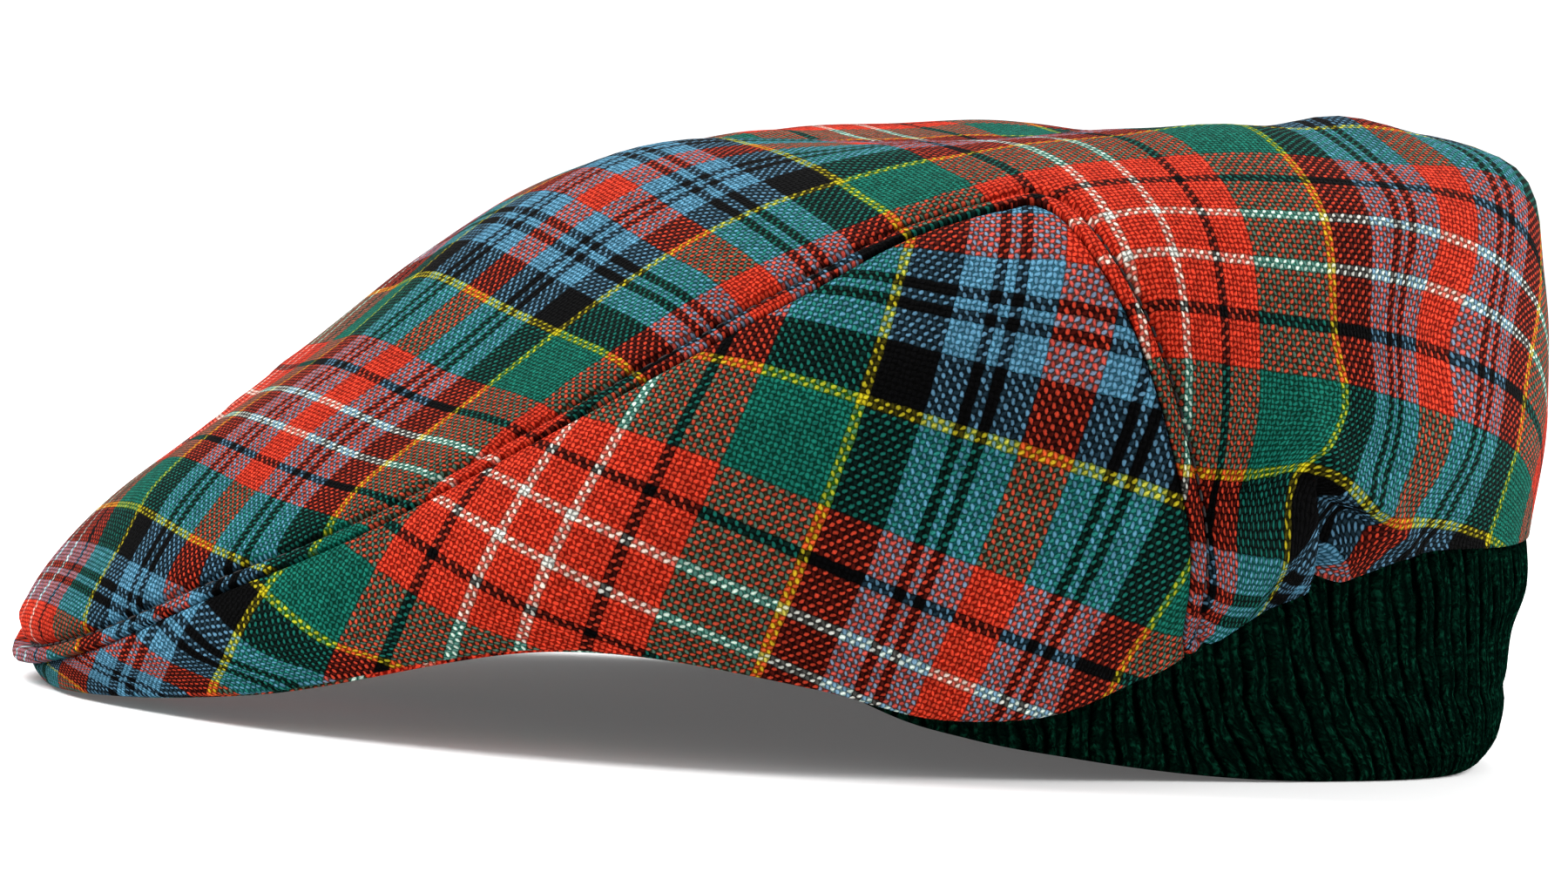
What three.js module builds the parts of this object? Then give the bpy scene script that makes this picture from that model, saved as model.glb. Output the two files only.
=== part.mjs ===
// A flat cap: three tartan cloth panels, a stiff peak inside the front, and a ribbed knit band round the back.
// Millimetres. The cap faces -Y, its left side is +X, and it rests on z = 0 on the peak and the band.
import * as THREE from 'three';

// Driving dimensions
const clothThickness = 1.8;
const pieceGap = 0.3;
const peakThickness = 2.5;
const peakBelowRim = 0.6;
const peakInset = 0.85; // from the cloth's inside at the rim, as the cloth leans in above it
const bandThickness = 3;
const bandTuck = 8;
const ribPitch = 3.6;
const ribDepth = 0.8;

// Crown sections, one for each direction from the front (0) to the back (180), the same on both sides.
// Each gives the distance from the crown's axis and the height of the rim, belly, shoulder and upper crown.
const crownSections = [
  { deg: 0, rimR: 164, rimZ: 0.6, bellyR: 163, bellyZ: 6.5, shoulderR: 107, shoulderZ: 64.5, upperR: 61, upperZ: 99.5 },
  { deg: 20, rimR: 152.5, rimZ: 5.5, bellyR: 151.5, bellyZ: 11, shoulderR: 108, shoulderZ: 61.5, upperR: 61, upperZ: 98.5 },
  { deg: 40, rimR: 132, rimZ: 18, bellyR: 133, bellyZ: 22, shoulderR: 100, shoulderZ: 74, upperR: 59, upperZ: 99 },
  { deg: 60, rimR: 113, rimZ: 14.5, bellyR: 114.5, bellyZ: 31, shoulderR: 94, shoulderZ: 82, upperR: 58, upperZ: 102 },
  { deg: 70, rimR: 105, rimZ: 10.5, bellyR: 108.5, bellyZ: 35, shoulderR: 93.5, shoulderZ: 85.5, upperR: 58, upperZ: 103 },
  { deg: 80, rimR: 99, rimZ: 11, bellyR: 104, bellyZ: 39, shoulderR: 93, shoulderZ: 89, upperR: 58, upperZ: 104.5 },
  { deg: 100, rimR: 91, rimZ: 23, bellyR: 103.5, bellyZ: 43, shoulderR: 93, shoulderZ: 94.5, upperR: 58, upperZ: 107 },
  { deg: 120, rimR: 95, rimZ: 38, bellyR: 108, bellyZ: 56, shoulderR: 98, shoulderZ: 99.5, upperR: 60, upperZ: 110 },
  { deg: 145, rimR: 109, rimZ: 41.5, bellyR: 112, bellyZ: 65, shoulderR: 102, shoulderZ: 105, upperR: 63, upperZ: 110 },
  { deg: 180, rimR: 110, rimZ: 42, bellyR: 111.5, bellyZ: 67, shoulderR: 105, shoulderZ: 109, upperR: 62, upperZ: 112 },
];
const apexHeight = 105;
const apexRise = 0.085; // slope of the crown's top up towards the back, at its axis
const front = crownSections[0];
const back = crownSections[crownSections.length - 1];
const axisY = (front.rimR - back.bellyR) / 2; // puts the cap's middle at y = 0

// The seam round each side panel: direction, and how far up the crown from the rim (0) to the apex (1).
const sideSeam = [
  { deg: 0, up: 0.03 },
  { deg: 8, up: 0.054 },
  { deg: 18, up: 0.118 },
  { deg: 27, up: 0.169 },
  { deg: 37, up: 0.241 },
  { deg: 52, up: 0.384 },
  { deg: 66, up: 0.506 },
  { deg: 75, up: 0.54 },
  { deg: 79, up: 0.541 },
  { deg: 81, up: 0.518 },
  { deg: 84, up: 0.436 },
  { deg: 88, up: 0.335 },
  { deg: 93, up: 0.185 },
  { deg: 99, up: 0 },
];
const sidePanelEnd = 98.7;

// Folds of the cloth: middle, half widths, and height out of the crown (negative is a dent).
const folds = [
  { name: 'pocket over the band', deg: 114, up: 0.13, wideDeg: 7, wideUp: 0.05, height: -5 },
  { name: 'puff under the pocket', deg: 118, up: 0.045, wideDeg: 8, wideUp: 0.03, height: 2.5 },
  { name: 'hollow behind the top', deg: 172, up: 0.69, wideDeg: 40, wideUp: 0.06, height: -1.2 },
  { name: 'ridge at the back', deg: 165, up: 0.53, wideDeg: 34, wideUp: 0.06, height: 2 },
];

// The peak: its width inwards from the rim, and how much its inner edge rises.
const peakSections = [
  { deg: 0, width: 62, rise: 12 },
  { deg: 20, width: 54, rise: 11 },
  { deg: 36, width: 37, rise: 7 },
  { deg: 47, width: 20, rise: 3.5 },
  { deg: 56, width: 6, rise: 1 },
];
const peakCamber = 2;

// The knit band: its lower edge, and how far its face stands inside the rim at each depth below it.
const bandHem = [
  { deg: 63, z: 10.5 },
  { deg: 74, z: 7 },
  { deg: 86, z: 4 },
  { deg: 98, z: 1.8 },
  { deg: 110, z: 0.5 },
  { deg: 120, z: 0 },
  { deg: 180, z: 0 },
];
const bandProfile = [
  { depth: -10, inset: 2.6 },
  { depth: 0, inset: 2.6 },
  { depth: 7, inset: 1.6 },
  { depth: 15, inset: 4.5 },
  { depth: 22, inset: 3.6 },
  { depth: 44, inset: 2.5 },
];
const bandRows = 5;

// Smooth curve through a table's rows, level at both ends: a cubic on slopes weighed from the two neighbours.
function smooth(knots, values, x, startSlope = 0, endSlope = 0) {
  const last = knots.length - 1;
  let i = 0;
  while (i < last - 1 && x > knots[i + 1]) i += 1;
  const chord = (k) => (values[k + 1] - values[k]) / (knots[k + 1] - knots[k]);
  const slope = (k) => {
    if (k === 0) return startSlope;
    if (k === last) return endSlope;
    const before = knots[k] - knots[k - 1];
    const after = knots[k + 1] - knots[k];
    return (chord(k - 1) * after + chord(k) * before) / (before + after);
  };
  const span = knots[i + 1] - knots[i];
  const t = THREE.MathUtils.clamp((x - knots[i]) / span, 0, 1);
  const rise = t * t * (3 - 2 * t);
  return values[i] * (1 - rise) + values[i + 1] * rise
    + span * t * (1 - t) * (slope(i) * (1 - t) - slope(i + 1) * t);
}

// A column of a table at x.
function column(table, at, key, x) {
  return smooth(table.map((row) => row[at]), table.map((row) => row[key]), x);
}

// A point in the cap's frame from its direction, distance from the crown's axis and height.
function polar(deg, r, z) {
  const angle = THREE.MathUtils.degToRad(deg);
  return new THREE.Vector3(r * Math.sin(angle), axisY - r * Math.cos(angle), z);
}

// The crown's outer curve in one direction, from the rim over belly, shoulder and upper crown to the apex.
class Meridian {
  constructor(deg) {
    this.deg = deg;
    const side = Math.abs(deg) > 180 ? 360 - Math.abs(deg) : Math.abs(deg);
    const at = (key) => column(crownSections, 'deg', key, side);
    this.r = [at('rimR'), at('bellyR'), at('shoulderR'), at('upperR'), 0];
    this.z = [at('rimZ'), at('bellyZ'), at('shoulderZ'), at('upperZ'), apexHeight];
    this.along = [0];
    for (let k = 1; k < this.r.length; k += 1) {
      const chord = Math.hypot(this.r[k] - this.r[k - 1], this.z[k] - this.z[k - 1]);
      this.along.push(this.along[k - 1] + chord);
    }
    this.length = this.along[this.along.length - 1];
  }

  // The point a fraction of the way up from the rim.
  at(up) {
    const x = up * this.length;
    const firstSlope = (v) => (v[1] - v[0]) / this.along[1];
    const lastSlope = -this.r[3] / (this.length - this.along[3]);
    const topSlope = apexRise * Math.cos(THREE.MathUtils.degToRad(this.deg));
    const r = smooth(this.along, this.r, x, firstSlope(this.r), lastSlope);
    const z = smooth(this.along, this.z, x, firstSlope(this.z), topSlope);
    return polar(this.deg, r, z);
  }
}

// Height of the folds above the plain crown.
function foldHeight(deg, up) {
  let height = 0;
  for (const fold of folds) {
    const away = THREE.MathUtils.euclideanModulo(deg - fold.deg + 180, 360) - 180;
    const across = away / fold.wideDeg;
    const along = (up - fold.up) / fold.wideUp;
    height += fold.height * Math.exp(-across * across - along * along);
  }
  return height;
}

// The crown's outside point and the point inside the cloth from it.
function clothPoints(deg, up) {
  const middle = new Meridian(deg).at(up);
  const normal = new THREE.Vector3(0, -apexRise, 1);
  if (up < 1) {
    const step = 0.002;
    const climb = new Meridian(deg).at(up + step).sub(new Meridian(deg).at(up));
    const turn = new Meridian(deg + 0.2).at(up).sub(new Meridian(deg - 0.2).at(up));
    normal.crossVectors(turn, climb);
  }
  normal.normalize();
  const outer = middle.addScaledVector(normal, foldHeight(deg, up));
  const inner = outer.clone().addScaledVector(normal, -clothThickness);
  return { outer, inner };
}

// How far up the side panel's seam is, moved off it by a distance in mm.
function seamUp(deg, offset) {
  const side = Math.abs(deg);
  if (side >= sideSeam[sideSeam.length - 1].deg) return 0;
  const meridian = new Meridian(side);
  const up = column(sideSeam, 'deg', 'up', side);
  const step = 0.1;
  const climb = (column(sideSeam, 'deg', 'up', side + step) - up) * meridian.length;
  const point = meridian.at(up);
  const run = Math.hypot(point.x, point.y - axisY) * THREE.MathUtils.degToRad(step);
  return THREE.MathUtils.clamp(up + offset * Math.hypot(1, climb / run) / meridian.length, 0, 1);
}

// A closed wall between two skins, given as columns of outer and inner points. The columns may close into a
// ring, and their last points may meet in one pole.
function wallGeometry(columns, { ring = false, pole = false } = {}) {
  const positions = [];
  const faces = [];
  const addPoint = (p) => positions.push(p.x, p.y, p.z) / 3 - 1;
  const rows = columns[0].outer.length;
  const poles = { outer: -1, inner: -1 };
  const ids = columns.map((points) => {
    const numbered = {};
    for (const skin of ['outer', 'inner']) {
      numbered[skin] = points[skin].map((p, row) => {
        if (!pole || row < rows - 1) return addPoint(p);
        if (poles[skin] < 0) poles[skin] = addPoint(p);
        return poles[skin];
      });
    }
    return numbered;
  });
  const pointAt = (id) => new THREE.Vector3().fromArray(positions, 3 * id);
  const addQuad = (a, b, c, d) => {
    const acrossFirst = pointAt(a).distanceTo(pointAt(c)) <= pointAt(b).distanceTo(pointAt(d));
    const triangles = acrossFirst ? [[a, b, c], [a, c, d]] : [[a, b, d], [b, c, d]];
    for (const triangle of triangles) {
      if (new Set(triangle).size === 3) faces.push(...triangle);
    }
  };
  const pairs = ring ? columns.length : columns.length - 1;
  for (let i = 0; i < pairs; i += 1) {
    const here = ids[i];
    const next = ids[(i + 1) % columns.length];
    for (let row = 0; row + 1 < rows; row += 1) {
      addQuad(here.outer[row], next.outer[row], next.outer[row + 1], here.outer[row + 1]);
      addQuad(here.inner[row], here.inner[row + 1], next.inner[row + 1], next.inner[row]);
    }
    addQuad(here.inner[0], next.inner[0], next.outer[0], here.outer[0]);
    if (!pole) addQuad(here.outer[rows - 1], next.outer[rows - 1], next.inner[rows - 1], here.inner[rows - 1]);
  }
  if (!ring) {
    const first = ids[0];
    const last = ids[columns.length - 1];
    for (let row = 0; row + 1 < rows; row += 1) {
      addQuad(first.inner[row], first.outer[row], first.outer[row + 1], first.inner[row + 1]);
      addQuad(last.outer[row], last.inner[row], last.inner[row + 1], last.outer[row + 1]);
    }
  }
  const geometry = new THREE.BufferGeometry();
  geometry.setAttribute('position', new THREE.Float32BufferAttribute(positions, 3));
  geometry.setIndex(faces);
  geometry.computeVertexNormals();
  return geometry;
}

// A column of a cloth panel between two heights, in equal steps.
function clothColumn(deg, from, to, rows) {
  const points = { outer: [], inner: [] };
  for (let row = 0; row <= rows; row += 1) {
    const { outer, inner } = clothPoints(deg, from + (to - from) * row / rows);
    points.outer.push(outer);
    points.inner.push(inner);
  }
  return points;
}

// Directions from start to end with a wanted step, ends included.
function directions(start, end, step) {
  const count = Math.max(1, Math.round(Math.abs(end - start) / step));
  return Array.from({ length: count + 1 }, (_, k) => start + (end - start) * k / count);
}

// Directions round half the crown: close together along the steep back seam.
const seamTop = 79;
const seamFoot = 99;
const sideDirections = [
  ...directions(0, seamTop, 5.3).slice(0, -1),
  ...directions(seamTop, sidePanelEnd, 2),
];
const halfDirections = [...sideDirections, ...directions(seamFoot + 0.3, 180, 5.4)];

function topPanelGeometry() {
  const left = halfDirections;
  const right = halfDirections.slice(1, -1).reverse().map((deg) => -deg);
  const columns = [...left, ...right].map((deg) => clothColumn(deg, seamUp(deg, pieceGap / 2), 1, 13));
  return wallGeometry(columns, { ring: true, pole: true });
}

// One side panel. The two meet at the front point, half a gap each side of the middle.
function sidePanelGeometry(side) {
  const frontGap = THREE.MathUtils.radToDeg(pieceGap / 2 / front.rimR);
  const list = sideDirections.map((deg) => side * Math.max(deg, frontGap));
  if (side < 0) list.reverse();
  return wallGeometry(list.map((deg) => clothColumn(deg, 0, seamUp(deg, -pieceGap / 2), 6)));
}

// The peak: a cambered crescent inside the rim, from its inner edge to its outer edge.
function peakGeometry() {
  const end = peakSections[peakSections.length - 1].deg;
  const steps = 6;
  const columns = directions(-end, end, 5).map((deg) => {
    const side = Math.abs(deg);
    const outR = column(crownSections, 'deg', 'rimR', side) - clothThickness - peakInset;
    const outZ = column(crownSections, 'deg', 'rimZ', side) - peakBelowRim;
    const width = column(peakSections, 'deg', 'width', side);
    const rise = column(peakSections, 'deg', 'rise', side);
    const points = { outer: [], inner: [] };
    for (let k = 0; k <= steps; k += 1) {
      const t = k / steps;
      const z = outZ + rise * (1 - t) + peakCamber * Math.sin(Math.PI * t) * width / peakSections[0].width;
      const r = outR - width * (1 - t);
      points.outer.push(polar(deg, r, z + peakThickness));
      points.inner.push(polar(deg, r, z));
    }
    return points;
  });
  // rows run outwards here, so the columns go from right to left to keep the faces pointing out
  return wallGeometry(columns.reverse());
}

// The knit band: columns alternate between the crests and grooves of its ribs, on both faces.
function bandGeometry() {
  const start = bandHem[0].deg;
  const meanR = 98;
  const arc = THREE.MathUtils.degToRad(360 - 2 * start) * meanR;
  const ribs = Math.round(arc / ribPitch);
  const columns = directions(start, 360 - start, (360 - 2 * start) / (2 * ribs)).map((deg, k) => {
    const side = deg > 180 ? 360 - deg : deg;
    const rimR = column(crownSections, 'deg', 'rimR', side);
    const rimZ = column(crownSections, 'deg', 'rimZ', side);
    const hemZ = Math.max(0, column(bandHem, 'deg', 'z', side));
    const groove = k % 2 ? ribDepth : 0;
    const points = { outer: [], inner: [] };
    for (let row = 0; row <= bandRows; row += 1) {
      const z = hemZ + (rimZ + bandTuck - hemZ) * row / bandRows;
      const r = rimR - column(bandProfile, 'depth', 'inset', rimZ - z);
      points.outer.push(polar(deg, r - groove, z));
      points.inner.push(polar(deg, r - bandThickness + (ribDepth - groove) * 0.5, z));
    }
    return points;
  });
  return wallGeometry(columns);
}

function piece(name, geometry, colour, roughness) {
  const material = new THREE.MeshStandardMaterial({ color: colour, roughness, metalness: 0 });
  const mesh = new THREE.Mesh(geometry, material);
  mesh.name = name;
  return mesh;
}

const tartanRed = '#b8492f';
const tartanGreen = '#2c5d4c';
const peakCloth = '#3a3f3c';
const knitGreen = '#0c2c22';

const cap = new THREE.Group();
cap.add(piece('top_panel', topPanelGeometry(), tartanRed, 0.9));
cap.add(piece('side_panel_left', sidePanelGeometry(1), tartanGreen, 0.9));
cap.add(piece('side_panel_right', sidePanelGeometry(-1), tartanGreen, 0.9));
cap.add(piece('peak', peakGeometry(), peakCloth, 0.85));
cap.add(piece('knit_band', bandGeometry(), knitGreen, 0.95));

export default cap;
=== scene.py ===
"""Looks of a tartan flat cap with a ribbed knit band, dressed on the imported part's frame.

Sizes are millimetres until a mesh is made. The cap faces -Y, its left side is +X, and it rests on z = 0.
A direction is the angle round the crown's axis from the front (0) over the left side (90) to the back (180).
"""

import logging
import math
from dataclasses import dataclass
from enum import Enum
from typing import Any

import bpy
import numpy as np
from mathutils import Matrix, Vector

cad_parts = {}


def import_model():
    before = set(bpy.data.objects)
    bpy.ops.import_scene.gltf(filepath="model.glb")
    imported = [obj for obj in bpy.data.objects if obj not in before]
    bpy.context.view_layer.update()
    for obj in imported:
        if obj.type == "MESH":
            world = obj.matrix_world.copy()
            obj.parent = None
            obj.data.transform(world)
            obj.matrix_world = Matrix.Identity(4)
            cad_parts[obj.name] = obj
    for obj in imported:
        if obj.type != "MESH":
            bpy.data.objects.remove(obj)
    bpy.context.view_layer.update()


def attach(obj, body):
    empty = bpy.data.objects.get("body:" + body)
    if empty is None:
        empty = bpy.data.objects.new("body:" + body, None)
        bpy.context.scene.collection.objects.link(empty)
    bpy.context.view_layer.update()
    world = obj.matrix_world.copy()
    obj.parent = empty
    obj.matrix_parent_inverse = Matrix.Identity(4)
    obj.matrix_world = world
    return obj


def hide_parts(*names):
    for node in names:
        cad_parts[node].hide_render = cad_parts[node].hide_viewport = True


LOG = logging.getLogger("cap")
MM = 0.001
Array = np.ndarray


def bell(x: Array) -> Array:
    """A bell of height 1: e to the minus x squared."""
    return np.exp(-x * x)


def ease(x: Array, low: Any, high: float) -> Array:
    """0 below low and 1 above high, with a smooth cubic between them."""
    t = np.clip((x - low) / (high - low), 0, 1)
    return t * t * (3 - 2 * t)


def smooth(knots: Array, values: Array, x: Array, start: Any = 0.0, end: Any = 0.0) -> Array:
    """Read smooth curves through knots: cubics on slopes weighed from the two neighbouring chords.

    Args:
        knots: Rising places, one row for each curve or one for all.
        values: Values at the knots, in the same rows.
        x: Where to read, one row for each curve.
        start: Slope at the first knot.
        end: Slope at the last knot.

    Returns:
        The values at x, in rows as x.
    """
    knots, values, x = (np.atleast_2d(np.asarray(a, float)) for a in (knots, values, x))
    rows = max(len(knots), len(x))
    knots, values = (np.broadcast_to(a, (rows, a.shape[1])) for a in (knots, values))
    gap = np.diff(knots)
    chord = np.diff(values) / gap
    slope = np.empty(values.shape)
    slope[:, 1:-1] = (chord[:, :-1] * gap[:, 1:] + chord[:, 1:] * gap[:, :-1]) / (gap[:, 1:] + gap[:, :-1])
    slope[:, 0] = start
    slope[:, -1] = end
    i = (x[..., None] > knots[:, None, 1:-1]).sum(-1)
    read = np.take_along_axis
    span = read(gap, i, 1)
    t = np.clip((x - read(knots, i, 1)) / span, 0, 1)
    rise = t * t * (3 - 2 * t)
    bend = span * t * (1 - t) * (read(slope, i, 1) * (1 - t) - read(slope, i + 1, 1) * t)
    return read(values, i, 1) * (1 - rise) + read(values, i + 1, 1) * rise + bend


def table_at(table: tuple, column: int, x: Array) -> Array:
    """Read one column of a table of rows smoothly at x, by the table's first column."""
    rows = np.array(table, float)
    return smooth(rows[:, 0], rows[:, column], np.ravel(x))[0].reshape(np.shape(x))


def spaced(count: int, even: float) -> Array:
    """Shares from 0 to 1 that lie closer at both ends: an even run mixed with half a cosine wave."""
    x = np.linspace(0, 1, count)
    return even * x + (1 - even) * (1 - np.cos(np.pi * x)) / 2


def turn_of(deg: Array) -> Array:
    """A direction brought between -180 and 180."""
    return (deg + 180) % 360 - 180


def run_along(points: Array, axis: int = 0) -> Array:
    """Length run along a line of points, from 0 at its first."""
    steps = np.linalg.norm(np.diff(points, axis=axis), axis=-1)
    first = np.zeros_like(np.take(steps, [0], axis))
    return np.concatenate([first, np.cumsum(steps, axis)], axis)


def polar(deg: Array, r: Array, z: Array, axis_y: float) -> Array:
    """Points from direction, distance from the crown's axis and height: x = r sin, y = axis - r cos."""
    angle = np.radians(deg)
    return np.stack(np.broadcast_arrays(r * np.sin(angle), axis_y - r * np.cos(angle), z), -1)


def grid_faces(columns: int, rows: int, ring: bool = False, loop: bool = False) -> Array:
    """Number the quads of a grid of points stored column by column.

    Args:
        columns: Number of columns.
        rows: Number of points in a column.
        ring: Whether the last column joins the first.
        loop: Whether each column's last point joins its first.

    Returns:
        Four point numbers for each face, turning from column to column first.
    """
    i = np.arange(columns if ring else columns - 1)[:, None]
    j = np.arange(rows if loop else rows - 1)[None, :]
    right, above = (i + 1) % columns, (j + 1) % rows
    corners = np.broadcast_arrays(i * rows + j, right * rows + j, right * rows + above, i * rows + above)
    return np.stack(corners, -1).reshape(-1, 4)


class Socket:
    """A shader value that can be used in sums, products and other maths."""

    def __init__(self, shader: "Shader", out: bpy.types.NodeSocket) -> None:
        """Hold an output socket of a shader's node."""
        self.shader = shader
        self.out = out

    def math(self, operation: str, *others: Any) -> "Socket":
        """Apply a Math node to this value and the others."""
        node = self.shader.node("ShaderNodeMath", {"operation": operation}, dict(enumerate((self, *others))))
        return Socket(self.shader, node.outputs[0])

    def __add__(self, other: Any) -> "Socket":
        """Sum."""
        return self.math("ADD", other)

    __radd__ = __add__

    def __sub__(self, other: Any) -> "Socket":
        """Difference."""
        return self.math("SUBTRACT", other)

    def __rsub__(self, other: Any) -> "Socket":
        """Difference from a number."""
        node = self.shader.node("ShaderNodeMath", {"operation": "SUBTRACT"}, {0: other, 1: self})
        return Socket(self.shader, node.outputs[0])

    def __mul__(self, other: Any) -> "Socket":
        """Product."""
        return self.math("MULTIPLY", other)

    __rmul__ = __mul__

    def __truediv__(self, other: Any) -> "Socket":
        """Quotient."""
        return self.math("DIVIDE", other)

    def __pow__(self, other: Any) -> "Socket":
        """Power."""
        return self.math("POWER", other)

    def floor(self) -> "Socket":
        """Whole part."""
        return self.math("FLOOR")

    def fraction(self) -> "Socket":
        """Part after the point."""
        return self.math("FRACT")

    def size(self) -> "Socket":
        """Value without its sign."""
        return self.math("ABSOLUTE")

    def wave(self) -> "Socket":
        """Sine."""
        return self.math("SINE")

    def zigzag(self, half: float) -> "Socket":
        """Run up to half and back again, over and over."""
        return self.math("PINGPONG", half)

    def ramp(self, low: float, high: float) -> "Socket":
        """0 below low and 1 above high, with a smooth step between them."""
        settings = {"interpolation_type": "SMOOTHSTEP"}
        node = self.shader.node("ShaderNodeMapRange", settings, {0: self, 1: low, 2: high})
        return Socket(self.shader, node.outputs[0])


class Shader:
    """A material that is being put together from nodes."""

    def __init__(self, name: str) -> None:
        """Start an empty material of that name."""
        self.material = bpy.data.materials.new(name)
        self.material.use_nodes = True
        self.tree = self.material.node_tree
        self.tree.nodes.clear()

    def node(self, kind: str, settings: dict[str, Any], inputs: dict[Any, Any]) -> bpy.types.Node:
        """Add a node.

        Args:
            kind: The node's type.
            settings: Its properties, which are set first; "stops" gives a ramp's places and colours.
            inputs: Values or links by socket name or number.

        Returns:
            The node.
        """
        made = self.tree.nodes.new(kind)
        for key, value in settings.items():
            if key == "stops":
                self.set_stops(made.color_ramp, value)
            else:
                setattr(made, key, value)
        for key, value in inputs.items():
            if isinstance(value, Socket):
                self.tree.links.new(value.out, made.inputs[key])
            elif isinstance(value, bpy.types.NodeSocket):
                self.tree.links.new(value, made.inputs[key])
            else:
                made.inputs[key].default_value = value
        return made

    @staticmethod
    def set_stops(ramp: bpy.types.ColorRamp, stops: list) -> None:
        """Set a ramp's stops, each band of colour starting sharply at its place."""
        ramp.interpolation = "CONSTANT"
        for k, (place, colour) in enumerate(stops):
            stop = ramp.elements[k] if k < 1 else ramp.elements.new(place)
            stop.position = place
            stop.color = (*colour, 1)
        ramp.elements.remove(ramp.elements[-1])

    def threads(self, uv_map: str) -> tuple[Socket, Socket]:
        """The two counts of a cloth's own UV map."""
        uv = self.node("ShaderNodeUVMap", {"uv_map": uv_map}, {})
        split = self.node("ShaderNodeSeparateXYZ", {}, {0: uv.outputs[0]})
        return Socket(self, split.outputs[0]), Socket(self, split.outputs[1])

    def noise(self, x: Any, y: Any, scale: float, detail: float = 2.0) -> Socket:
        """Soft noise between 0 and 1 over two values."""
        place = self.node("ShaderNodeCombineXYZ", {}, {0: x, 1: y})
        cloud = self.node("ShaderNodeTexNoise", {"noise_dimensions": "2D"},
                          {"Vector": place.outputs[0], "Scale": scale, "Detail": detail})
        return Socket(self, cloud.outputs[0])

    def speck(self, x: Any, y: Any) -> Socket:
        """A chance value between 0 and 1 for each pair of whole numbers."""
        place = self.node("ShaderNodeCombineXYZ", {}, {0: x, 1: y})
        made = self.node("ShaderNodeTexWhiteNoise", {"noise_dimensions": "2D"}, {"Vector": place.outputs[0]})
        return Socket(self, made.outputs[0])

    def mix(self, share: Any, first: Any, second: Any, blend: str = "MIX") -> Socket:
        """Mix two colours by a share."""
        settings = {"data_type": "RGBA", "blend_type": blend}
        made = self.node("ShaderNodeMix", settings, {0: share, 6: first, 7: second})
        return Socket(self, made.outputs[2])

    def times(self, first: Any, second: Any) -> Socket:
        """Product of two colours."""
        return self.mix(1.0, first, second, "MULTIPLY")

    def cloud(self, scale: float) -> Socket:
        """Soft noise between 0 and 1 through a piece's own space."""
        place = self.node("ShaderNodeTexCoord", {}, {})
        made = self.node("ShaderNodeTexNoise", {}, {"Vector": place.outputs["Object"], "Scale": scale})
        return Socket(self, made.outputs[0])

    def grey(self, value: Any) -> Socket:
        """A grey colour of a value."""
        made = self.node("ShaderNodeCombineColor", {}, {0: value, 1: value, 2: value})
        return Socket(self, made.outputs[0])

    def finish(self, colour: Any, height: Any, bump: float, constants: dict[str, Any]) -> bpy.types.Material:
        """Close the material with one cloth surface.

        Args:
            colour: Base colour.
            height: Relief between 0 and 1.
            bump: Relief's real height in metres.
            constants: Values that are the same all over, by socket name.

        Returns:
            The material.
        """
        relief = self.node("ShaderNodeBump", {}, {"Strength": 1.0, "Distance": bump, "Height": height})
        surface = self.node("ShaderNodeBsdfPrincipled", {},
                            {"Base Color": colour, "Normal": relief.outputs[0], **constants})
        self.node("ShaderNodeOutputMaterial", {}, {0: surface.outputs[0]})
        return self.material


def linear(red: int, green: int, blue: int) -> tuple[float, float, float]:
    """A screen colour (0 to 255 each) as linear light."""
    shares = (red / 255, green / 255, blue / 255)
    return tuple(((c + 0.055) / 1.055) ** 2.4 if c > 0.04 else c / 12.92 for c in shares)


def tone(value: float) -> tuple[float, float, float, float]:
    """An even grey as a colour."""
    return (value, value, value, 1.0)


class Yarn(Enum):
    """Dyed wool yarns of the tartan."""

    RED = linear(202, 64, 42)
    AZURE = linear(91, 136, 164)
    BLACK = linear(4, 4, 5)
    YELLOW = linear(182, 168, 34)
    GREEN = linear(23, 103, 90)
    WHITE = linear(222, 222, 212)


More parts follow.
